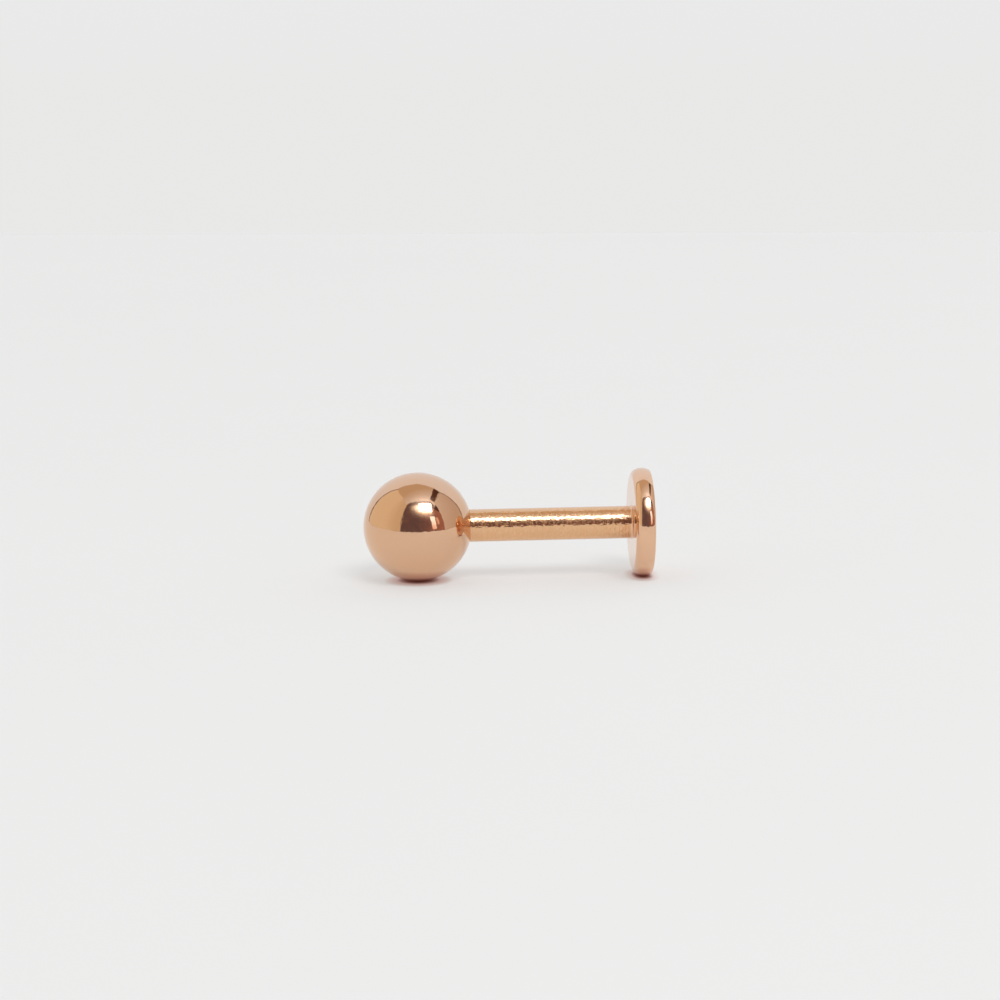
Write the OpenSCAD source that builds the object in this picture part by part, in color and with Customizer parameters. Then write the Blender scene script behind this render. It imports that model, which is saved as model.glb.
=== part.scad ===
// Labret stud of rose-gold coloured steel, lying on its side: a straight post with a
// flat disc back, and a ball that screws onto the threaded end of the post.
// Millimetres. The stud lies along X on the plane Z = 0, the ball at -X and the disc at +X,
// and the origin is on that plane, half way along the stud.

/* [Post] */
// Diameter of the bare shaft between the ball and the disc
shaft_d = 1.2; // [0.8:0.1:1.6]
// Bare shaft from the disc's inner face to the ball's seat
shaft_len = 6; // [4:0.5:16]
// Radius of the fillet where the shaft grows out of the disc
root_fillet_r = 0.08; // [0.03:0.01:0.15]

/* [Disc back] */
// Diameter of the disc over its rim
disc_d = 4; // [3:0.1:6]
// Thickness of the disc
disc_t = 0.7; // [0.55:0.05:1]
// Radius of the shallow crown round the rim
rim_crown_r = 0.6; // [0.5:0.05:0.9]
// Distance from the inner face to the rim's highest line
rim_crown_at = 0.4; // [0.35:0.01:0.45]
// Radius of the rounded edge between the rim and the inner face
inner_edge_r = 0.3; // [0.2:0.01:0.35]
// Radius of the small rounded edge between the rim and the outer face
outer_edge_r = 0.08; // [0.03:0.01:0.12]

/* [Thread] */
// Length of the threaded end beyond the shaft's shoulder
thread_len = 1.6; // [1:0.1:2]
// Distance from one thread crest to the next
thread_pitch = 0.25; // [0.2:0.01:0.35]
// Height of the thread over its core
thread_depth = 0.13; // [0.08:0.01:0.16]
// Width of the shoulder that the ball is tightened against
shoulder_w = 0.1; // [0.06:0.01:0.12]
// Length of the plain neck between the shoulder and the first thread
neck_len = 0.12; // [0.05:0.01:0.2]
// Chamfer on the free tip of the thread
tip_chamfer = 0.12; // [0.05:0.01:0.15]

/* [Ball] */
// Diameter of the ball
ball_d = 4; // [3:0.1:6]
// Width of the flat ring on the ball that shows round the shaft
seat_rim = 0.025; // [0.01:0.005:0.1]
// Gap all round between the thread's crests and the ball's hole
thread_gap = 0.02; // [0.01:0.005:0.04]
// Depth left in the ball's hole past the tip of the thread
hole_spare = 0.15; // [0.05:0.05:0.4]
// Chamfer at the mouth of the ball's hole
mouth_chamfer = 0.03; // [0.01:0.005:0.04]

/* [Hidden] */
$fn = 96;

rose_gold = [0.83, 0.65, 0.52];

shaft_r = shaft_d / 2;
ball_r = ball_d / 2;
disc_r = disc_d / 2;

// The thread stands inside the shaft's outline, so the shaft ends in a shoulder.
thread_r = shaft_r - shoulder_w;
core_r = thread_r - thread_depth;

// The ball's flat seat, and how far it lies from the ball's centre
seat_r = shaft_r + seat_rim;
seat_dist = sqrt(ball_r * ball_r - seat_r * seat_r);
hole_r = thread_r + thread_gap;
hole_depth = thread_len + hole_spare;
// Half of the point angle of the drill that made the hole
drill_half_angle = 59;
// How far a cut runs past the face that it opens
cut_over = 0.5;
// Turn of the stud about its own axis. It changes nothing to the eye, and lays a flat of a
// coarse mesh of ball and disc on the plane, where the stud would otherwise stand on an edge.
own_turn = 92;

// Centres, as [radius, distance from the inner face], of the three arcs round the disc's rim
crown_c = [disc_r - rim_crown_r, rim_crown_at];
inner_edge_c = edge_centre(inner_edge_r, inner_edge_r);
outer_edge_c = edge_centre(outer_edge_r, disc_t - outer_edge_r);

// Places along the stud, and the tilt at which ball and disc both touch the plane
overall_len = ball_r + seat_dist + shaft_len + disc_t;
ball_x = ball_r - overall_len / 2;
crown_run = seat_dist + shaft_len + rim_crown_at;
rest_tilt = atan2(crown_c[0], crown_run)
    - asin((ball_r - rim_crown_r) / norm([crown_run, crown_c[0]]));

// Centre of an edge arc of radius r that lies at height h and touches the crown from inside
function edge_centre(r, h) =
    [crown_c[0] + sqrt(pow(rim_crown_r - r, 2) - pow(h - rim_crown_at, 2)), h];

// Point where an edge arc centred at c meets the crown
function on_crown(c) = crown_c + rim_crown_r * (c - crown_c) / norm(c - crown_c);

// Zigzag of V-shaped rings from root to crest, climbing from height z by one pitch a ring
function ring_points(root, crest, z, rings) = [
    for (i = [0 : rings - 1], half = [0, 1])
        [half == 0 ? root : crest, z + thread_pitch * (i + half / 2)]
];

// Slice of a disc of radius r centred at c, between the rays that pass through a and b
module slice(c, r, a, b) {
    u = 2 * r * (a - c) / norm(a - c);
    v = 2 * r * (b - c) / norm(b - c);
    intersection() {
        translate(c) circle(r = r);
        polygon([c, c + u, c + u + v, c + v]);
    }
}

// Lays what is drawn along Z, with the ball's seat at Z = 0 and the disc above it,
// along the stud's axis on the plane
module along_stud() {
    translate([ball_x, 0, ball_r])
        rotate([0, -rest_tilt, 0])
            translate([seat_dist, 0, 0])
                rotate([own_turn, 0, 0])
                    rotate([0, 90, 0])
                        children();
}

// Half outline of the disc, from its axis out, standing on its inner face
module disc_outline() {
    inner_join = on_crown(inner_edge_c);
    outer_join = on_crown(outer_edge_c);
    inner_foot = [inner_edge_c[0], 0];
    outer_foot = [outer_edge_c[0], disc_t];
    polygon([[0, 0], inner_foot, inner_join, outer_join, outer_foot, [0, disc_t]]);
    slice(inner_edge_c, inner_edge_r, inner_foot, inner_join);
    slice(crown_c, rim_crown_r, inner_join, outer_join);
    slice(outer_edge_c, outer_edge_r, outer_join, outer_foot);
}

// Half outline of the shaft with the fillet at the disc
module shaft_outline() {
    square([shaft_r, shaft_len]);
    difference() {
        translate([0, shaft_len - root_fillet_r])
            square([shaft_r + root_fillet_r, root_fillet_r]);
        translate([shaft_r + root_fillet_r, shaft_len - root_fillet_r])
            circle(r = root_fillet_r);
    }
}

// Half outline of the threaded end. The thread is drawn as closed rings one pitch apart,
// and the outermost ring is cut off by the tip and its chamfer.
module thread_outline() {
    rings = ceil((thread_len - neck_len) / thread_pitch);
    first = -neck_len - rings * thread_pitch;
    intersection() {
        polygon(concat(
            [[0, first]],
            ring_points(core_r, thread_r, first, rings),
            [[core_r, -neck_len], [core_r, 0], [0, 0]]
        ));
        polygon([
            [0, 0],
            [thread_r, 0],
            [thread_r, -thread_len + tip_chamfer],
            [thread_r - tip_chamfer, -thread_len],
            [0, -thread_len]
        ]);
    }
}

// The post: disc, shaft and threaded end in one piece of metal
module post() {
    color(rose_gold)
        along_stud()
            rotate_extrude() {
                translate([0, shaft_len]) disc_outline();
                shaft_outline();
                thread_outline();
            }
}

// Half outline of the hole in the ball, with its own thread rings cut outwards
module hole_outline() {
    rings = floor((hole_depth - 2 * neck_len) / thread_pitch);
    first = -neck_len - rings * thread_pitch;
    polygon(concat(
        [[0, -hole_depth - hole_r / tan(drill_half_angle)], [hole_r, -hole_depth]],
        ring_points(hole_r, hole_r + thread_depth, first, rings),
        [[hole_r, -neck_len],
         [hole_r, -mouth_chamfer],
         [hole_r + mouth_chamfer, 0],
         [hole_r + mouth_chamfer, cut_over],
         [0, cut_over]]
    ));
}

// The ball, with a small flat seat and the hole for the thread
module ball() {
    color(rose_gold)
        along_stud()
            difference() {
                translate([0, 0, -seat_dist]) sphere(r = ball_r);
                cylinder(h = ball_r, r = ball_r);
                rotate_extrude() hole_outline();
            }
}

post();
ball();
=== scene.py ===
"""Labret stud: a straight post with a flat disc back and a ball that screws onto its end.

Models both pieces over their solids, gives them a rose-gold plated finish, and stands them on a
pale floor inside a small light tent, seen as in the photograph.
"""

import math

import bmesh
import bpy
from bpy.props import FloatProperty, FloatVectorProperty, IntProperty, PointerProperty
from mathutils import Matrix, Vector


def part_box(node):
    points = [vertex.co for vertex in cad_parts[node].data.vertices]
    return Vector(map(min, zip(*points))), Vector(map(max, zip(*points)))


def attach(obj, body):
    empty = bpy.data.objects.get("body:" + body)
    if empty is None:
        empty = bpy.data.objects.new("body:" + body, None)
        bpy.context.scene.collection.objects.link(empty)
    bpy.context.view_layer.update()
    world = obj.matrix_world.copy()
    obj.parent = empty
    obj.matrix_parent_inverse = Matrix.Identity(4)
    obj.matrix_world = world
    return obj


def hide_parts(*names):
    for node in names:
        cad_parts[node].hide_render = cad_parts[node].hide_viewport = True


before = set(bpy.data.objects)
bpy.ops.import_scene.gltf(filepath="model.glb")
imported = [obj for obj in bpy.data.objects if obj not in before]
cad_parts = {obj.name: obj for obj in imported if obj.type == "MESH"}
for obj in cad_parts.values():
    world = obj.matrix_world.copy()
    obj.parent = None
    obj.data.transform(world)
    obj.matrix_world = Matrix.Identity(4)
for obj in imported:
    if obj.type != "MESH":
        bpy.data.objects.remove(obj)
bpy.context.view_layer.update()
_, post_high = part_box("post")
ball_low, ball_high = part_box("ball")

bl_info = {
    "name": "Labret stud",
    "version": (1, 0, 0),
    "blender": (4, 5, 0),
    "location": "3D View > Sidebar > Labret stud",
    "description": "Models a rose-gold labret stud and the light tent that it is photographed in",
    "category": "Mesh",
}

MM = 0.001

# Points closer than this along the stud stand in one ring, and in a thread they are one point
SAME_PLACE = 0.002 * MM
# Points closer than this are merged in a finished piece
SAME_POINT = 0.001 * MM
# How far off a flat the middle of a face may be to lie on it
ON_FLAT = 0.0001 * MM
# How near a cut passes to a point to run through it
CUT_NEAR = 1e-8
# Short straight run beside an edge, which keeps the shading of the faces next to it even
RUN = 0.02 * MM
# Half of the point angle of the drill that made the ball's hole, and the small share of the hole's
# radius from which its cone is drawn to a point
DRILL_HALF_ANGLE = math.radians(59)
DRILL_POINT = 0.04
# Radius at the thread's tip, as a share of its radius where the taper starts
TIP_SHARE = 0.76

# Roughness of the clear film over the plating, and what steep flanks of the lathe's rings add to it
LACQUER_ROUGHNESS = 0.22
FLANK_ROUGHNESS = 0.05
# Share of the rubbed colour in the dulled patches
DULLING = 0.65


def length(name, description, default):
    """A length that shows in the panel."""
    return FloatProperty(
        name=name, description=description, default=default, min=0.0, precision=6,
        unit="LENGTH", subtype="DISTANCE",
    )


def shade(name, description, default):
    """A colour that shows in the panel."""
    return FloatVectorProperty(
        name=name, description=description, default=default, min=0.0, max=1.0, size=3, subtype="COLOR"
    )


def amount(name, description, default, high=1.0):
    """A plain number that shows in the panel."""
    return FloatProperty(name=name, description=description, default=default, min=0.0, max=high, precision=4)


class StudSizes(bpy.types.PropertyGroup):
    """Sizes of the post and the ball"""

    segments: IntProperty(
        name="Segments", description="Flat sides round each piece", default=192, min=48, max=256
    )
    axis_height: length("Axis height", "Height of the stud's axis over the floor", 2.0 * MM)
    ball_d: length("Ball", "Diameter of the ball", 4.0 * MM)
    seat_d: length("Ball seat", "Diameter of the small flat on the ball round the shaft", 1.25 * MM)
    shaft_d: length("Shaft", "Diameter of the bare shaft", 1.2 * MM)
    root_fillet: length("Root fillet", "Radius where the shaft grows out of the disc", 0.08 * MM)
    shoulder_break: length("Shoulder break", "Radius that blunts the end of the shaft", 0.015 * MM)
    disc_d: length("Disc", "Diameter of the disc back", 4.0 * MM)
    disc_t: length("Disc thickness", "Thickness of the disc back", 0.7 * MM)
    rim_crown: length("Rim crown", "Radius of the shallow crown round the disc's rim", 0.6 * MM)
    rim_crown_at: length("Crown height", "Distance from the inner face to the rim's highest line", 0.4 * MM)
    inner_edge: length("Inner edge", "Radius between the rim and the inner face", 0.3 * MM)
    outer_edge: length("Outer edge", "Radius between the rim and the outer face", 0.08 * MM)
    thread_d: length("Thread", "Diameter over the thread's crests", 1.0 * MM)
    thread_core_d: length("Thread core", "Diameter at the thread's roots", 0.74 * MM)
    thread_pitch: length("Thread pitch", "Distance from one crest to the next", 0.25 * MM)
    thread_len: length("Thread length", "Length of the threaded end", 1.6 * MM)
    neck_len: length("Neck", "Plain length before the first thread", 0.12 * MM)
    tip_taper: length("Tip taper", "Length of the tapered tip", 0.12 * MM)
    bore_d: length("Bore", "Diameter of the ball's hole inside its thread", 1.04 * MM)
    bore_depth: length("Bore depth", "Depth of the ball's hole before the drill's cone", 1.75 * MM)
    mouth_break: length("Mouth chamfer", "Chamfer at the mouth of the ball's hole", 0.03 * MM)


class PlatingFinish(bpy.types.PropertyGroup):
    """Colour and polish of the rose-gold plating"""

    ball_metal: shade("Ball plating", "Colour of the clean plating on the ball", (0.776, 0.477, 0.297))
    post_metal: shade("Post plating", "Colour of the clean plating on the post", (0.845, 0.525, 0.335))
    rubbed: shade("Rubbed plating", "Colour where handling has dulled the plating", (0.75, 0.47, 0.305))
    # Painted interreflection and painted highlight glow: the deeper gold on the lathe's steep flanks stands
    # for light bounced between them and for the golden band under the shaft's highlight
    painted_groove_bounce: shade("Painted groove bounce", "Colour on the flanks of the lathe's marks", (0.80, 0.45, 0.20))
    polish: amount("Polish", "Roughness of the mirror polish", 0.05)
    haze: amount("Haze", "Roughness that smudges and hairlines add", 0.06)
    lacquer: amount("Lacquer", "Strength of the thin clear film over the plating", 0.35)
    relief: length("Relief", "Depth of the polish's waviness, hairlines and pits", 0.0032 * MM)
    ring_pitch: length("Turning rings", "Distance between the lathe's marks on the shaft", 0.16 * MM)
    ring_slope: amount("Ring slope", "Steepness of the lathe's marks, as rise over run", 0.18)
    chatter: length("Chatter", "Height of the small skips of the lathe's tool round the shaft", 0.013 * MM)


class TentLight(bpy.types.PropertyGroup):
    """Brightness and colour of the tent round the stud"""

    key: shade("Key light", "Colour of the panel in the tent's roof", (0.80, 0.89, 1.0))
    key_power: amount("Key power", "Brightness of the panel in the tent's roof", 11.28, 50.0)
    lamp: shade("Lamp", "Colour of the light that the panel sheds on the floor", (1.0, 1.0, 0.99))
    lamp_power: amount("Lamp power", "Watts of the light that the panel sheds on the floor", 1.0, 10.0)
    walls: amount("Walls", "Brightness of the tent's walls and roof", 1.03, 5.0)
    floor: shade("Floor", "Colour of the floor sheet", (0.93, 0.93, 0.93))
    floor_lift: amount("Floor lift", "Share of the floor's brightness that no shadow takes away", 0.42)
    room: shade("Room", "Dark gaps between the tent's walls", (0.10, 0.04, 0.02))
    backdrop: shade("Surroundings", "What the camera sees beyond the floor", (0.83, 0.83, 0.82))


class LabretStud(bpy.types.PropertyGroup):
    """Everything that the panel shows"""

    sizes: PointerProperty(type=StudSizes)
    finish: PointerProperty(type=PlatingFinish)
    tent: PointerProperty(type=TentLight)


def settings():
    """The values in the panel."""
    return bpy.context.scene.labret_stud


# Modelling helpers


def start_piece():
    """Leaves edit mode and deselects everything, so that a new primitive is alone."""
    if bpy.context.mode != "OBJECT":
        bpy.ops.object.mode_set(mode="OBJECT")
    bpy.ops.object.select_all(action="DESELECT")


def work_on(obj):
    """Makes one object the only selected one, and active."""
    start_piece()
    obj.select_set(True)
    bpy.context.view_layer.objects.active = obj


def settle(obj, name):
    """Names a new object and applies its place, so that it sits at the origin."""
    obj.name = name
    obj.data.name = name
    bpy.ops.object.transform_apply(location=True, rotation=True, scale=True)
    return obj


def pick(obj, test, kind="EDGE"):
    """In edit mode, selects the vertices, edges or faces whose middle passes the test."""
    bpy.ops.mesh.select_mode(type=kind)
    bpy.ops.mesh.select_all(action="DESELECT")
    mesh = bmesh.from_edit_mesh(obj.data)
    if kind == "VERT":
        for v in mesh.verts:
            v.select_set(test(v.co, v))
    elif kind == "EDGE":
        for e in mesh.edges:
            e.select_set(test((e.verts[0].co + e.verts[1].co) / 2, e))
    else:
        for f in mesh.faces:
            f.select_set(test(f.calc_center_median(), f))
    bmesh.update_edit_mesh(obj.data)


def open_ring(*places):
    """A test for the open edges of rings that stand at these places along the stud."""
    return lambda co, edge: edge.is_boundary and any(abs(co.x - x) < SAME_PLACE for x in places)


def add_ring(x, r):
    """Adds a ring round the stud's axis, and returns its object in edit mode, ring selected."""
    s = settings().sizes
    start_piece()
    bpy.ops.mesh.primitive_circle_add(
        vertices=s.segments, radius=r, fill_type="NOTHING",
        location=(x, 0, s.axis_height), rotation=(0, math.pi / 2, 0),
    )
    ring = settle(bpy.context.object, "ring")
    bpy.ops.object.mode_set(mode="EDIT")
    bpy.ops.mesh.select_mode(type="EDGE")
    bpy.ops.mesh.select_all(action="SELECT")
    return ring


def draw_out(stations):
    """Extrudes the selected ring from station to station, each (place along the stud, radius)."""
    height = settings().sizes.axis_height
    for (x0, r0), (x1, r1) in zip(stations, stations[1:]):
        bpy.ops.mesh.extrude_region_move(TRANSFORM_OT_translate={"value": (x1 - x0, 0, 0)})
        bpy.ops.transform.resize(value=(1, r1 / r0, r1 / r0), center_override=(x1, 0, height))


def arc(x, r, radius, start, end, steps):
    """Stations on an arc about (x, r), its angles in degrees from +X outwards."""
    turns = [math.radians(start + (end - start) * i / steps) for i in range(steps + 1)]
    return [(x + radius * math.cos(t), r + radius * math.sin(t)) for t in turns]


def cut_thread(name, start, end, root_r, crest_r, pitch):
    """A right-hand thread, open at both ends, between two places along the stud."""
    s = settings().sizes
    low, high = min(start, end), max(start, end)
    turns = math.ceil((high - low) / pitch) + 1
    # Share of the pitch, and radius there
    profile = [(0.0, root_r), (0.06, root_r), (0.44, crest_r), (0.56, crest_r), (0.94, root_r), (1.0, root_r)]
    start_piece()
    bpy.ops.mesh.primitive_plane_add(size=MM, location=(0, 0, s.axis_height))
    thread = bpy.context.object
    thread.name = name
    bpy.ops.object.mode_set(mode="EDIT")
    pick(thread, lambda co, v: v.index > 0, "VERT")
    bpy.ops.mesh.delete(type="VERT")
    bpy.ops.mesh.select_all(action="SELECT")
    at = next(iter(bmesh.from_edit_mesh(thread.data).verts)).co.copy()
    for i, (share, r) in enumerate(profile):
        to = Vector((low - pitch + share * pitch, 0, r))
        if i == 0:
            bpy.ops.transform.translate(value=to - at)
        else:
            bpy.ops.mesh.extrude_region_move(TRANSFORM_OT_translate={"value": to - at})
        at = to
    bpy.ops.object.mode_set(mode="OBJECT")
    screw = thread.modifiers.new("thread", "SCREW")
    screw.axis = "X"
    screw.screw_offset = pitch
    screw.iterations = turns
    screw.steps = screw.render_steps = s.segments // 2
    screw.use_smooth_shade = False
    bpy.ops.object.modifier_apply(modifier="thread")
    settle(thread, name)
    bpy.ops.object.mode_set(mode="EDIT")
    bpy.ops.mesh.select_mode(type="VERT")
    bpy.ops.mesh.select_all(action="SELECT")
    bpy.ops.mesh.remove_doubles(threshold=SAME_PLACE)
    for place, outwards in ((low, -1), (high, 1)):
        bpy.ops.mesh.select_all(action="SELECT")
        bpy.ops.mesh.bisect(
            plane_co=(place, 0, 0), plane_no=(outwards, 0, 0), clear_outer=True, threshold=CUT_NEAR
        )
    bpy.ops.object.mode_set(mode="OBJECT")
    return thread


def join(parts, name):
    """Joins parts into the first one."""
    work_on(parts[0])
    for part in parts[1:]:
        part.select_set(True)
    bpy.ops.object.join()
    parts[0].name = parts[0].data.name = name
    return parts[0]


def bridge(obj, *places):
    """Closes the gap between two open rings."""
    pick(obj, open_ring(*places))
    bpy.ops.mesh.bridge_edge_loops()


def cap(obj, place):
    """Closes an open ring with one flat face."""
    pick(obj, open_ring(place))
    bpy.ops.mesh.edge_face_add()


def finish_piece(obj, body, materials):
    """Merges doubles, turns every face outwards, smooths the round faces and puts the piece on its body."""
    work_on(obj)
    bpy.ops.object.mode_set(mode="EDIT")
    bpy.ops.mesh.select_mode(type="VERT")
    bpy.ops.mesh.select_all(action="SELECT")
    bpy.ops.mesh.remove_doubles(threshold=SAME_POINT)
    bpy.ops.mesh.normals_make_consistent(inside=False)
    left_open = [e for e in bmesh.from_edit_mesh(obj.data).edges if not e.is_manifold]
    bpy.ops.object.mode_set(mode="OBJECT")
    if left_open:
        raise RuntimeError(f"{obj.name}: {len(left_open)} edges are left open")
    bpy.ops.object.shade_smooth_by_angle(angle=math.radians(28))
    for material, test in materials:
        obj.data.materials.append(material)
        index = len(obj.data.materials) - 1
        for face in obj.data.polygons:
            if test(face.center):
                face.material_index = index
    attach(obj, body)


# Materials


def put(tree, kind, inputs=None, **choices):
    """Adds a node, makes its choices, and links or sets its inputs."""
    node = tree.nodes.new(kind)
    for name, value in choices.items():
        setattr(node, name, value)
    for name, value in (inputs or {}).items():
        if isinstance(value, bpy.types.NodeSocket):
            tree.links.new(value, node.inputs[name])
        else:
            node.inputs[name].default_value = value
    return node


def reckon(tree, operation, *values):
    """A Math node's output."""
    return put(tree, "ShaderNodeMath", dict(enumerate(values)), operation=operation).outputs[0]


def remap(tree, value, low, high, to_low=0.0, to_high=1.0):
    """A value stretched from one range to another, and held inside it."""
    return put(tree, "ShaderNodeMapRange", {
        "Value": value, "From Min": low, "From Max": high, "To Min": to_low, "To Max": to_high,
    }).outputs["Result"]


def cloud(tree, vector, scale, detail=2.0, distortion=0.0):
    """A soft random pattern's value, from 0 to 1."""
    return put(tree, "ShaderNodeTexNoise", {
        "Vector": vector, "Scale": scale, "Detail": detail, "Distortion": distortion,
    }).outputs[0]


def mix(tree, share, first, second):
    """A colour that runs from the first to the second. Each is a colour or a node's output."""
    ends = {}
    for name, colour in (("A", first), ("B", second)):
        ends[name] = colour if isinstance(colour, bpy.types.NodeSocket) else (*colour, 1)
    return put(tree, "ShaderNodeMix", {"Factor": share, **ends}, data_type="RGBA").outputs["Result"]


def place_on(tree):
    """A point's place on its piece, in metres."""
    return tree.nodes.new("ShaderNodeTexCoord").outputs["Object"]


def new_material(name):
    """A material with nodes, and its node tree."""
    material = bpy.data.materials.new(name)
    material.use_nodes = True
    return material, material.node_tree


def new_group(name, inputs, outputs):
    """An empty node group, with its inputs' and outputs' nodes."""
    tree = bpy.data.node_groups.new(name, "ShaderNodeTree")
    for label, value in inputs.items():
        tree.interface.new_socket(label, in_out="INPUT", socket_type="NodeSocketFloat").default_value = value
    for label in outputs:
        tree.interface.new_socket(label, in_out="OUTPUT", socket_type="NodeSocketFloat")
    return tree, tree.nodes.new("NodeGroupInput"), tree.nodes.new("NodeGroupOutput")


def handling_marks():
    """Dulled patches, smudges, hairlines, pits and the slight waviness that polishing leaves.

    Patches, Smudges and Hairlines are the scales of those marks. Dulled and Haze run from 0, clean,
    upwards. Relief is a height without a unit.
    """
    if "handling_marks" in bpy.data.node_groups:
        return bpy.data.node_groups["handling_marks"]
    tree, given, out = new_group(
        "handling_marks", {"Patches": 700.0, "Smudges": 1500.0, "Hairlines": 900.0},
        ("Dulled", "Haze", "Relief"),
    )
    place = place_on(tree)
    dulled = remap(tree, cloud(tree, place, given.outputs["Patches"], 3.0, 0.6), 0.42, 0.70)
    smudged = remap(tree, cloud(tree, place, given.outputs["Smudges"], 4.0, 0.3), 0.50, 0.74)

    # Hairlines are where a stretched cloud crosses its middle value, in two directions
    lines = []
    for turn, stretch in (((0.3, 0.9, 0.2), (1.0, 0.05, 1.0)), ((1.2, 0.1, 0.8), (0.06, 1.0, 1.0))):
        drawn = put(tree, "ShaderNodeMapping", {"Vector": place, "Rotation": turn, "Scale": stretch})
        wander = cloud(tree, drawn.outputs[0], given.outputs["Hairlines"], 2.0, 0.4)
        off = reckon(tree, "ABSOLUTE", reckon(tree, "SUBTRACT", wander, 0.5))
        lines.append(remap(tree, off, 0.0, 0.010, 1.0, 0.0))
    hairlines = reckon(tree, "MAXIMUM", *lines)
    hairlines = reckon(tree, "MULTIPLY", hairlines, remap(tree, cloud(tree, place, 1100.0), 0.45, 0.60))

    # A few cells of a fine pattern hold a pit
    spots = put(tree, "ShaderNodeTexVoronoi", {"Vector": place, "Scale": 2600.0})
    chosen = put(tree, "ShaderNodeSeparateColor", {0: spots.outputs["Color"]}).outputs[0]
    pits = reckon(
        tree, "MULTIPLY", remap(tree, spots.outputs["Distance"], 0.05, 0.14, 1.0, 0.0),
        remap(tree, chosen, 0.86, 0.88),
    )
    waves = cloud(tree, place, 1600.0, 1.0)
    waves = reckon(tree, "MULTIPLY_ADD", cloud(tree, place, 4200.0, 1.0), 0.9, waves)
    relief = reckon(tree, "SUBTRACT", waves, reckon(tree, "MULTIPLY", hairlines, 0.12))
    relief = reckon(tree, "SUBTRACT", relief, reckon(tree, "MULTIPLY", pits, 0.35))
    haze = reckon(tree, "ADD", smudged, reckon(tree, "MULTIPLY", hairlines, 0.6))
    haze = reckon(tree, "ADD", haze, reckon(tree, "MULTIPLY", pits, 0.8))
    tree.links.new(dulled, out.inputs["Dulled"])
    tree.links.new(haze, out.inputs["Haze"])
    tree.links.new(relief, out.inputs["Relief"])
    return tree


def turning_rings():
    """Rings that a lathe's tool leaves round the stud's axis, uneven in spacing and depth.

    Chatter is the height, in metres, of the tool's small skips round the shaft. Height is in
    metres, and Flanks is 1 where a ring's side is steep.
    """
    if "turning_rings" in bpy.data.node_groups:
        return bpy.data.node_groups["turning_rings"]
    tree, given, out = new_group(
        "turning_rings", {"Pitch": 0.00016, "Slope": 0.25, "Unevenness": 2.0, "Chatter": 0.0},
        ("Height", "Flanks"),
    )
    place = place_on(tree)
    along = put(tree, "ShaderNodeSeparateXYZ", {0: place}).outputs["X"]
    drawn = put(tree, "ShaderNodeMapping", {"Vector": place, "Scale": (1.0, 0.3, 0.3)}).outputs[0]
    skipped = put(tree, "ShaderNodeMapping", {"Vector": place, "Scale": (0.8, 1.0, 1.0)}).outputs[0]
    height = reckon(tree, "MULTIPLY", cloud(tree, skipped, 9500.0), given.outputs["Chatter"])
    uneven = reckon(tree, "MULTIPLY", given.outputs["Unevenness"], 2.0)
    flanks = 0.0
    # Coarse, middle and fine rings: share of the pitch, steepness, scale of their drift, and shift
    for share, steep, drift_scale, shift in (
        (1.0, 0.12, 1800.0, 0.0),
        (0.39, 0.2, 4000.0, 0.3),
        (0.17, 1.0, 9000.0, 0.7),
    ):
        pitch = reckon(tree, "MULTIPLY", given.outputs["Pitch"], share)
        moved = put(tree, "ShaderNodeMapping", {"Vector": drawn, "Location": (shift, shift, 0)}).outputs[0]
        drift = cloud(tree, moved, drift_scale, 1.0)
        deep = reckon(tree, "SUBTRACT", cloud(tree, moved, 3 * drift_scale, 1.0), 0.5)
        deep = reckon(tree, "MULTIPLY_ADD", deep, uneven, 1.0)
        deep = reckon(tree, "MULTIPLY", reckon(tree, "MAXIMUM", deep, 0.1), steep)
        turns = reckon(tree, "MULTIPLY_ADD", drift, 2.4, reckon(tree, "DIVIDE", along, pitch))
        phase = reckon(tree, "MULTIPLY", turns, 2 * math.pi)
        rise = reckon(tree, "MULTIPLY", pitch, given.outputs["Slope"])
        rise = reckon(tree, "MULTIPLY", rise, 1 / (2 * math.pi))
        ring = reckon(tree, "MULTIPLY", reckon(tree, "SINE", phase), reckon(tree, "MULTIPLY", rise, deep))
        height = reckon(tree, "ADD", ring, height)
        # The coarse rings are too shallow to count among the steep flanks, which get a painted
        # interreflection tint and more roughness
        if share < 1:
            side = reckon(tree, "MULTIPLY", reckon(tree, "COSINE", phase), deep)
            flanks = reckon(tree, "ADD", side, flanks)
    flanks = remap(tree, reckon(tree, "ABSOLUTE", flanks), 0.0, 1.1)
    tree.links.new(height, out.inputs["Height"])
    tree.links.new(flanks, out.inputs["Flanks"])
    return tree


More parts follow.
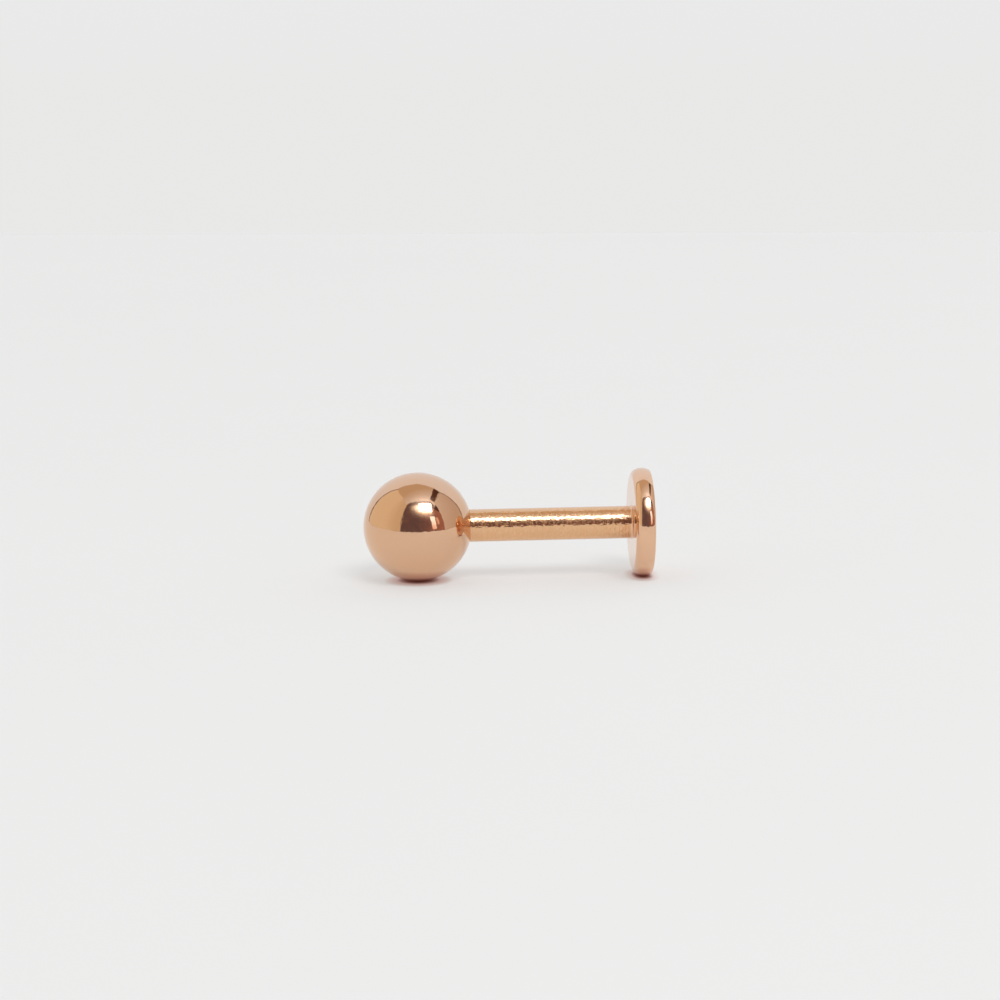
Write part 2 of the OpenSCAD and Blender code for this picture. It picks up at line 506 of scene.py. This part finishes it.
def plating(name, metal, polish, slope=0.0, pitch=0.0, chatter=0.0, waviness=1.0):
    """Rose-gold plating over polished steel, with handling marks, and turning rings if given a slope.

    Polish is its roughness, and waviness the share of the handling marks' relief that it has.
    """
    f = settings().finish
    material, tree = new_material(name)
    shader = tree.nodes["Principled BSDF"]
    shader.inputs["Metallic"].default_value = 1.0
    shader.inputs["Coat Weight"].default_value = f.lacquer
    shader.inputs["Coat Roughness"].default_value = LACQUER_ROUGHNESS
    marks = put(tree, "ShaderNodeGroup", node_tree=handling_marks())
    dulled = [(1 - DULLING) * clean + DULLING * worn for clean, worn in zip(metal, f.rubbed)]
    tint = mix(tree, marks.outputs["Dulled"], metal, dulled)
    rough = reckon(tree, "MULTIPLY_ADD", marks.outputs["Haze"], f.haze, polish)
    height = reckon(tree, "MULTIPLY", marks.outputs["Relief"], waviness * f.relief)
    if slope:
        rings = put(
            tree, "ShaderNodeGroup", {"Pitch": pitch, "Slope": slope, "Chatter": chatter},
            node_tree=turning_rings(),
        )
        height = reckon(tree, "ADD", rings.outputs["Height"], height)
        rough = reckon(tree, "MULTIPLY_ADD", rings.outputs["Flanks"], FLANK_ROUGHNESS, rough)
        # Steep flanks take a deeper gold. This is painted interreflection and painted highlight glow, not a
        # colour of the plating
        tint = mix(tree, rings.outputs["Flanks"], tint, f.painted_groove_bounce)
    tree.links.new(tint, shader.inputs["Base Color"])
    tree.links.new(rough, shader.inputs["Roughness"])
    bump = put(tree, "ShaderNodeBump", {"Strength": 1.0, "Distance": 1.0, "Height": height})
    tree.links.new(bump.outputs[0], shader.inputs["Normal"])
    return material


# Pieces


class STUD_OT_ball(bpy.types.Operator):
    """Models the ball with its flat seat and threaded hole"""

    bl_idname = "stud.ball"
    bl_label = "Ball"

    def execute(self, context):
        s, f = settings().sizes, settings().finish
        r = s.ball_d / 2
        seat = ball_high.x
        centre = seat - math.sqrt(r * r - s.seat_d * s.seat_d / 4)
        start_piece()
        bpy.ops.mesh.primitive_uv_sphere_add(
            segments=s.segments, ring_count=s.segments // 2, radius=r,
            location=(centre, 0, s.axis_height), rotation=(0, math.pi / 2, 0),
        )
        ball = settle(bpy.context.object, "ball_polished")
        bpy.ops.object.mode_set(mode="EDIT")
        bpy.ops.mesh.select_all(action="SELECT")
        bpy.ops.mesh.bisect(plane_co=(seat, 0, 0), plane_no=(1, 0, 0), clear_outer=True, threshold=CUT_NEAR)
        pick(ball, open_ring(seat))
        bore_r = s.bore_d / 2
        thread_depth = (s.thread_d - s.thread_core_d) / 2
        neck = seat - s.neck_len
        thread_end = seat - s.bore_depth + s.neck_len
        draw_out([
            (seat, s.seat_d / 2),
            (seat, bore_r + s.mouth_break),
            (seat - s.mouth_break, bore_r),
            (neck + RUN, bore_r),
        ])
        thread = cut_thread("ball_thread", neck, thread_end, bore_r, bore_r + thread_depth, s.thread_pitch)
        floor_start = thread_end - RUN
        floor_end = seat - s.bore_depth
        drill = add_ring(floor_start, bore_r)
        draw_out([
            (floor_start, bore_r),
            (floor_end, bore_r),
            (floor_end - (1 - DRILL_POINT) * bore_r / math.tan(DRILL_HALF_ANGLE), DRILL_POINT * bore_r),
        ])
        bpy.ops.mesh.merge(type="CENTER")
        join([ball, thread, drill], "ball_polished")
        bpy.ops.object.mode_set(mode="EDIT")
        bridge(ball, neck + RUN, neck)
        bridge(ball, thread_end, floor_start)
        height = s.axis_height

        def in_bore(p):
            """Whether a face lies in the hole, and neither on the ball's free end nor on its seat."""
            from_axis = math.hypot(p.y, p.z - height)
            from_centre = (p - Vector((centre, 0, height))).length
            return p.x > centre - 0.5 * r and from_axis < bore_r + thread_depth and from_centre < 0.93 * r

        finish_piece(ball, "ball", [
            (plating("ball_mirror", f.ball_metal, f.polish), lambda p: True),
            (plating("bore_cut", f.ball_metal, polish=0.2, slope=0.08, pitch=0.04 * MM), in_bore),
        ])
        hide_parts("ball")
        return {"FINISHED"}


class STUD_OT_post(bpy.types.Operator):
    """Models the disc back, the shaft and the threaded end as one piece"""

    bl_idname = "stud.post"
    bl_label = "Post"

    def execute(self, context):
        s, f = settings().sizes, settings().finish
        outer = post_high.x
        inner = outer - s.disc_t
        seat = ball_high.x
        shaft_r = s.shaft_d / 2
        crown_x, crown_r = inner + s.rim_crown_at, s.disc_d / 2 - s.rim_crown

        def beside_crown(x, edge):
            """Centre of an edge arc that touches the crown from inside, and the angle where they meet."""
            r = crown_r + math.sqrt((s.rim_crown - edge) ** 2 - (x - crown_x) ** 2)
            return x, r, math.degrees(math.atan2(r - crown_r, x - crown_x))

        out_x, out_r, out_turn = beside_crown(outer - s.outer_edge, s.outer_edge)
        in_x, in_r, in_turn = beside_crown(inner + s.inner_edge, s.inner_edge)
        root = s.root_fillet
        broken = s.shoulder_break
        core_r = s.thread_core_d / 2
        neck = seat - s.neck_len
        tip = seat - s.thread_len
        taper_start = tip + s.tip_taper
        # From the outer face over the rim and along the shaft to the thread's neck. The short runs
        # beside the edges keep the shading of the flats even.
        stations = (
            [(outer, out_r - 0.08 * MM), (outer, out_r - 0.006 * MM)]
            + arc(out_x, out_r, s.outer_edge, 0, out_turn, 8)
            + arc(crown_x, crown_r, s.rim_crown, out_turn, in_turn, 20)[1:]
            + arc(in_x, in_r, s.inner_edge, in_turn, 180, 20)[1:]
            + [(inner, in_r - 0.01 * MM), (inner, shaft_r + root + RUN)]
            + arc(inner - root, shaft_r + root, root, 0, -90, 10)
            + [(inner - root - RUN, shaft_r), (seat + broken + 0.03 * MM, shaft_r)]
            + arc(seat + broken, shaft_r - broken, broken, 90, 180, 4)
            + [(seat, core_r + RUN), (seat - RUN, core_r), (neck + RUN, core_r)]
        )
        post = add_ring(*stations[0])
        draw_out(stations)
        cap(post, outer)
        thread = cut_thread("post_thread", neck, taper_start, core_r, s.thread_d / 2, s.thread_pitch)
        work_on(thread)
        bpy.ops.object.mode_set(mode="EDIT")
        pick(thread, open_ring(taper_start))
        bpy.ops.mesh.extrude_region_move(TRANSFORM_OT_translate={"value": (-s.tip_taper, 0, 0)})
        bpy.ops.transform.resize(
            value=(1, TIP_SHARE, TIP_SHARE), center_override=(tip, 0, s.axis_height)
        )
        cap(thread, tip)
        join([post, thread], "post_polished")
        bpy.ops.object.mode_set(mode="EDIT")
        bridge(post, neck + RUN, neck)
        finish_piece(post, "post", [
            (plating("disc_mirror", f.post_metal, 1.4 * f.polish), lambda p: p.x > inner - root),
            (plating("disc_back_mirror", f.post_metal, 1.4 * f.polish, waviness=0.08),
             lambda p: p.x > outer - ON_FLAT),
            (plating("shaft_turned", f.post_metal, f.polish, f.ring_slope, f.ring_pitch, f.chatter),
             lambda p: seat < p.x <= inner - root),
            (plating("thread_cut", f.post_metal, polish=0.16, slope=0.07, pitch=0.04 * MM),
             lambda p: p.x <= seat),
        ])
        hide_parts("post")
        return {"FINISHED"}


class STUD_OT_tent(bpy.types.Operator):
    """Sets up the floor, the light tent and the camera"""

    bl_idname = "stud.tent"
    bl_label = "Light tent"

    def execute(self, context):
        lay_floor()
        hang_tent()
        add_lamp()
        set_surroundings()
        set_camera()
        return {"FINISHED"}


# Camera and tent

# The camera's lens and sensor in millimetres, and its angles in degrees, worked out from the photograph
CAMERA_LENS = 108
CAMERA_SENSOR = 36
CAMERA_TILT, CAMERA_TURN, CAMERA_ROLL = 10.0, 3.658, -0.625
# How far the camera stands back from the ball, and right of and above it
CAMERA_REACH = 110.38 * MM
CAMERA_SHIFT = (3.027 * MM, 0.984 * MM)

# Height of the tent's roof over the floor
ROOF_HEIGHT = 400 * MM
# The low flare's upright card: its azimuth and its distance from the ball
LOW_FLARE_FACING, LOW_FLARE_REACH = 185, 400 * MM
# Distance of the low lamps from the ball
LOW_LAMP_REACH = 300 * MM
# The back sheet: its azimuth, distance, ends, height and the radius of its fold, and its depth below
# the floor, so that the two don't lie in one plane
SHEET_FACING, SHEET_DISTANCE, SHEET_ENDS = 5.0, 160 * MM, (-51.5, 62)
SHEET_HEIGHT, SHEET_FOLD, SHEET_DROP = 406 * MM, 14 * MM, 0.15 * MM
FOLD_STEPS = 12


def sight():
    """Right, up and forward of the camera, and the ball's centre."""
    s = settings().sizes
    e, p, r = (math.radians(a) for a in (CAMERA_TILT, CAMERA_TURN, CAMERA_ROLL))
    forward = Vector((math.sin(p) * math.cos(e), math.cos(p) * math.cos(e), -math.sin(e)))
    level = Vector((math.cos(p), -math.sin(p), 0))
    rise = level.cross(forward)
    right = level * math.cos(r) + rise * math.sin(r)
    up = rise * math.cos(r) - level * math.sin(r)
    return right, up, forward, Vector((ball_low.x + s.ball_d / 2, 0, s.axis_height))


def directions():
    """Straight back and straight right of the camera, level with the floor."""
    forward = sight()[2]
    back = Vector((forward.x, forward.y, 0)).normalized()
    return back, Vector((back.y, -back.x, 0))


def looking(azimuth, elevation=0.0, distance=1.0):
    """A point seen from the ball: azimuth to the right of straight back from the camera, in degrees."""
    back, right = directions()
    a, e = math.radians(azimuth), math.radians(elevation)
    out = (back * math.cos(a) + right * math.sin(a)) * math.cos(e) + Vector((0, 0, math.sin(e)))
    return sight()[3] + out * distance


def on_wall(azimuth, facing, distance, height=0.0):
    """The point, at a height over the floor, where an upright wall stands at this azimuth."""
    point = looking(azimuth, 0, distance / math.cos(math.radians(azimuth - facing)))
    return Vector((point.x, point.y, height))


def set_camera():
    """Puts the camera where the photograph was taken from."""
    right, up, forward, ball = sight()
    place = ball + right * CAMERA_SHIFT[0] + up * CAMERA_SHIFT[1] - forward * CAMERA_REACH
    turn = Matrix((right, up, -forward)).transposed()
    start_piece()
    bpy.ops.object.camera_add(location=place, rotation=turn.to_euler())
    camera = bpy.context.object
    camera.name = "photo_camera"
    camera.data.lens = CAMERA_LENS
    camera.data.sensor_width = CAMERA_SENSOR
    camera.data.clip_start = 0.01
    camera.data.clip_end = 3.0
    camera.data.dof.use_dof = False
    bpy.context.scene.camera = camera


def glow(name, colour, power, far_colour=None, along=(0, 0, 1), span=(0.0, 0.4), uneven=0.0):
    """A card that shows one colour in reflections, or runs to another over a span along a direction.

    On matt surfaces it sheds neutral light, because the photograph's shadows are neutral.
    """
    material, tree = new_material(name)
    tree.nodes.clear()
    seen = put(tree, "ShaderNodeEmission", {"Color": (*colour, 1), "Strength": power})
    if far_colour:
        place = place_on(tree)
        reach = put(tree, "ShaderNodeVectorMath", {0: place, 1: along}, operation="DOT_PRODUCT")
        share = remap(tree, reach.outputs["Value"], *span)
        if uneven:
            wander = reckon(tree, "SUBTRACT", cloud(tree, place, 14.0, 3.0), 0.5)
            share = reckon(tree, "ADD", share, reckon(tree, "MULTIPLY", wander, uneven))
        tree.links.new(mix(tree, share, colour, far_colour), seen.inputs["Color"])
    grey = (sum(colour) + sum(far_colour or colour)) / 6
    light = put(tree, "ShaderNodeEmission", {"Color": (1, 1, 1, 1), "Strength": power * grey})
    path = tree.nodes.new("ShaderNodeLightPath")
    either = put(tree, "ShaderNodeMixShader", {
        0: path.outputs["Is Diffuse Ray"], 1: seen.outputs[0], 2: light.outputs[0],
    })
    put(tree, "ShaderNodeOutputMaterial", {"Surface": either.outputs[0]})
    return material


def flare(name, colour, power, centre, core, reach):
    """A grainy soft glow round a point, full out to core and gone at reach, on top of what is behind it."""
    material, tree = new_material(name)
    tree.nodes.clear()
    place = place_on(tree)
    away = put(tree, "ShaderNodeVectorMath", {0: place, 1: centre}, operation="DISTANCE").outputs["Value"]
    near = reckon(tree, "POWER", remap(tree, away, core, reach, 1.0, 0.0), 3.0)
    grain = remap(tree, cloud(tree, place, 42.0), 0.3, 0.7, 0.4 * power, 1.6 * power)
    near = reckon(tree, "MULTIPLY", near, grain)
    light = put(tree, "ShaderNodeEmission", {"Color": (*colour, 1), "Strength": near})
    clear = tree.nodes.new("ShaderNodeBsdfTransparent")
    both = put(tree, "ShaderNodeAddShader", {0: clear.outputs[0], 1: light.outputs[0]})
    put(tree, "ShaderNodeOutputMaterial", {"Surface": both.outputs[0]})
    return material


def add_sheet(name, corners):
    """A flat sheet with its corners at four points, in order round it."""
    start_piece()
    bpy.ops.mesh.primitive_plane_add(size=1, location=(0, 0, 0))
    sheet = bpy.context.object
    sheet.name = sheet.data.name = name
    for index, corner in zip((0, 1, 3, 2), corners):
        sheet.data.vertices[index].co = corner
    return sheet


def card(name, corners, material, lights_matt=True):
    """A card of the tent, which the camera doesn't see.

    One that doesn't light matt surfaces shows in reflections alone.
    """
    sheet = add_sheet(name, corners)
    sheet.data.materials.append(material)
    sheet.visible_camera = False
    sheet.visible_diffuse = lights_matt


def wall(name, facing, distance, ends, high, material):
    """An upright card on the floor, square to one azimuth, between two others."""
    a, b = ends
    corners = [on_wall(turn, facing, distance, z) for turn, z in ((a, 0), (b, 0), (b, high), (a, high))]
    card(name, corners, material)


def floor_matt(name, colour, lift):
    """Matt sheet with a faint unevenness.

    Part of its brightness is its own, because the photograph's whites hold hardly any shadow. Close
    to a piece that part fades, and the sheet takes on the warm colour of the light between them.
    """
    material, tree = new_material(name)
    shader = tree.nodes["Principled BSDF"]
    shader.inputs["Roughness"].default_value = 0.8
    shader.inputs["Specular IOR Level"].default_value = 0.2
    paler = [min(1.0, 1.015 * c) for c in colour]
    open_sheet = mix(tree, cloud(tree, place_on(tree), 45.0, 3.0), [0.985 * c for c in colour], paler)
    touching = put(tree, "ShaderNodeAmbientOcclusion", {"Distance": 0.15 * MM}, samples=8).outputs["AO"]
    beside = put(tree, "ShaderNodeAmbientOcclusion", {"Distance": 0.38 * MM}, samples=4).outputs["AO"]

    def contact_shadow_and_bounce(under, near, clear):
        """A colour that runs from a painted contact shadow under a piece, past a painted warm bounce of light
        near it, to the open sheet.
        """
        return mix(tree, touching, under, mix(tree, beside, near, clear))

    # Painted shadow and painted bounce light in the sheet's colour: dark red-brown where a piece touches,
    # warm pink beside it
    sheet = contact_shadow_and_bounce((0.45, 0.11, 0.05), (0.70, 0.43, 0.37), open_sheet)
    tree.links.new(sheet, shader.inputs["Base Color"])
    # The sheet's own brightness gets the same painted contact shadow and warm bounce
    own = put(tree, "ShaderNodeEmission", {
        "Color": contact_shadow_and_bounce((0.08, 0.012, 0.006), (0.65, 0.40, 0.35), (0.872, 0.885, 0.888)), "Strength": 1.0,
    })
    both = put(tree, "ShaderNodeMixShader", {0: lift, 1: shader.outputs[0], 2: own.outputs[0]})
    tree.links.new(both.outputs[0], tree.nodes["Material Output"].inputs["Surface"])
    return material


def lay_floor():
    """A pale floor, and the sheet that curves up from it behind the stud."""
    t = settings().tent
    start_piece()
    bpy.ops.mesh.primitive_circle_add(vertices=96, radius=198 * MM, fill_type="NGON", location=(0, 0, 0))
    floor = settle(bpy.context.object, "floor")
    floor.data.materials.append(floor_matt("floor_matt", t.floor, t.floor_lift))

    away = (looking(SHEET_FACING) - sight()[3]).normalized()
    left, right = (
        on_wall(a, SHEET_FACING, SHEET_DISTANCE, -SHEET_DROP) - away * SHEET_FOLD for a in SHEET_ENDS
    )
    overlap = away * 3 * MM
    sheet = add_sheet("back_sheet", (left - overlap, right - overlap, right, left))
    bpy.ops.object.mode_set(mode="EDIT")
    middle = (left + right) / 2
    pick(sheet, lambda co, e: (co - middle).length < 1 * MM)
    at = (0.0, 0.0)
    for i in range(1, FOLD_STEPS + 1):
        turn = math.radians(90 * i / FOLD_STEPS)
        to = (SHEET_FOLD * math.sin(turn), SHEET_FOLD * (1 - math.cos(turn)))
        step = away * (to[0] - at[0]) + Vector((0, 0, to[1] - at[1]))
        bpy.ops.mesh.extrude_region_move(TRANSFORM_OT_translate={"value": step})
        at = to
    bpy.ops.mesh.extrude_region_move(TRANSFORM_OT_translate={"value": (0, 0, SHEET_HEIGHT - SHEET_FOLD)})
    bpy.ops.object.mode_set(mode="OBJECT")
    bpy.ops.object.shade_smooth_by_angle(angle=math.radians(40))
    sheet.data.materials.append(glow(
        "sheet_glow", (0.812, 0.812, 0.805), 1.0, (0.88, 0.92, 0.99), (0, 0, 1), (0.012, 0.14)
    ))


def below_roof(share, *aims):
    """Points at a share of the roof's height, each seen from the ball at an azimuth and elevation."""
    return [looking(a, e, share * ROOF_HEIGHT / math.sin(math.radians(e))) for a, e in aims]


def hang_tent():
    """Walls, roof and key light round the stud, and the dim room beyond the open front."""
    t = settings().tent
    back, right = directions()
    ball = sight()[3]

    def overhead(share, *places):
        """Points at a share of the roof's height, each so many millimetres right and in front of the ball."""
        over = Vector((ball.x, ball.y, share * ROOF_HEIGHT))
        return [over + right * to_right * MM - back * to_front * MM for to_right, to_front in places]

    wall("left_wall", -100, 200 * MM, (-54, -145), 449 * MM, glow(
        "left_wall_glow", (0.81, 0.735, 0.575), t.walls, (0.70, 0.60, 0.45), -back, (0.05, 0.16)
    ))
    wall("right_wall", 88, 250 * MM, (64, 120), 392 * MM, glow(
        "right_wall_glow", (0.60, 0.515, 0.455), t.walls, (0.73, 0.69, 0.65),
        -back + Vector((0, 0, 0.6)), (0.0, 0.3),
    ))
    card("roof", overhead(1.0, (-215, -170), (169, -170), (180, 150), (-215, 224)), glow(
        "roof_glow", (0.61, 0.49, 0.36), t.walls, (0.86, 0.93, 1.02), -back + 0.5 * right, (-0.05, 0.24)
    ))
    card("key_light", below_roof(0.99, (133, 54.5), (170, 60), (173, 46), (140, 38)), glow(
        "key_glow", t.key, t.key_power
    ), lights_matt=False)
    card("key_flare", overhead(0.96, (-260, -60), (330, -60), (330, 560), (-260, 560)), flare(
        "key_flare_glow", (0.88, 0.95, 1.05), 0.8, below_roof(0.96, (157, 52))[0], 0.10, 0.33
    ), lights_matt=False)

    # The dim room would hide the lower part of the key light's soft edge, so that part stands before it
    azimuth, elevation = 160, 50
    off = math.cos(math.radians(azimuth - LOW_FLARE_FACING)) * math.cos(math.radians(elevation))
    brightest = looking(azimuth, elevation, LOW_FLARE_REACH / off)
    card("key_low_flare", [
        on_wall(turn, LOW_FLARE_FACING, LOW_FLARE_REACH, z * MM)
        for turn, z in ((125, 50), (215, 50), (215, 600), (125, 600))
    ], flare("key_low_flare_glow", (1.0, 1.0, 0.90), 3.2, brightest, 0.10, 0.40), lights_matt=False)
    card("key_under_spill", below_roof(0.985, (141, 37), (178, 46), (172, 29), (152, 28)), glow(
        "key_under_glow", (1.35, 1.3, 1.45), 1.0, (0.30, 0.21, 0.21), -back, (0.40, 0.60), 0.4
    ))
    card("key_side_spill", below_roof(0.985, (117, 50), (119, 63), (129, 62), (126, 46)), glow(
        "key_side_glow", (0.80, 0.75, 0.73), 1.0
    ))
    card("low_lamp", [
        looking(a, e, LOW_LAMP_REACH) for a, e in ((138, 4), (147, 3), (149, 30), (137, 28))
    ], glow("low_lamp_glow", (1.1, 0.65, 0.5), 1.0, (1.5, 1.8, 2.0), (0, 0, 1), (0.02, 0.11), 0.6))
    card("low_lamp_side", [
        looking(a, e, LOW_LAMP_REACH) for a, e in ((130, 12), (135, 11), (136, 25), (131, 24))
    ], glow("low_lamp_side_glow", (0.9, 0.55, 0.42), 1.0))
    wall("dim_room", -175, 420 * MM, (117, -142), 640 * MM, glow(
        "dim_room_glow", (0.145, 0.10, 0.11), 1.0, (0.40, 0.19, 0.145), right, (0.0, 0.62), 0.9
    ))


def add_lamp():
    """The light that the key light sheds on matt surfaces."""
    t = settings().tent
    start_piece()
    bpy.ops.object.light_add(type="AREA", location=below_roof(0.97, (156, 51))[0])
    lamp = bpy.context.object
    lamp.name = lamp.data.name = "key_lamp"
    lamp.data.size = 0.22
    lamp.data.color = t.lamp
    lamp.data.energy = t.lamp_power
    lamp.visible_glossy = False
    lamp.visible_camera = False


def set_surroundings():
    """What shows past the tent: dark in reflections, and pale to the camera."""
    t = settings().tent
    world = bpy.data.worlds.new("room")
    bpy.context.scene.world = world
    world.use_nodes = True
    tree = world.node_tree
    tree.nodes.clear()
    gaps = put(tree, "ShaderNodeBackground", {"Color": (*t.room, 1)})
    seen = put(tree, "ShaderNodeBackground", {"Color": (*t.backdrop, 1)})
    path = tree.nodes.new("ShaderNodeLightPath")
    either = put(tree, "ShaderNodeMixShader", {
        0: path.outputs["Is Camera Ray"], 1: gaps.outputs[0], 2: seen.outputs[0],
    })
    put(tree, "ShaderNodeOutputWorld", {"Surface": either.outputs[0]})
    bpy.context.scene.view_settings.view_transform = "Standard"


class STUD_PT_panel(bpy.types.Panel):
    """The stud's sizes, its finish and its light"""

    bl_idname = "STUD_PT_panel"
    bl_label = "Labret stud"
    bl_space_type = "VIEW_3D"
    bl_region_type = "UI"
    bl_category = "Labret stud"

    def draw(self, context):
        stud = context.scene.labret_stud
        for title, group in (("Sizes", stud.sizes), ("Plating", stud.finish), ("Light", stud.tent)):
            box = self.layout.box()
            box.label(text=title)
            for name in group.__annotations__:
                box.prop(group, name)
        for operator in OPERATORS:
            self.layout.operator(operator.bl_idname)


OPERATORS = (STUD_OT_tent, STUD_OT_ball, STUD_OT_post)
CLASSES = (StudSizes, PlatingFinish, TentLight, LabretStud, *OPERATORS, STUD_PT_panel)


def register():
    for cls in CLASSES:
        bpy.utils.register_class(cls)
    bpy.types.Scene.labret_stud = PointerProperty(type=LabretStud)


def unregister():
    del bpy.types.Scene.labret_stud
    for cls in reversed(CLASSES):
        bpy.utils.unregister_class(cls)


def main():
    """Builds the scene in order."""
    register()
    bpy.ops.stud.tent()
    bpy.ops.stud.ball()
    bpy.ops.stud.post()


if __name__ == "__main__":
    main()
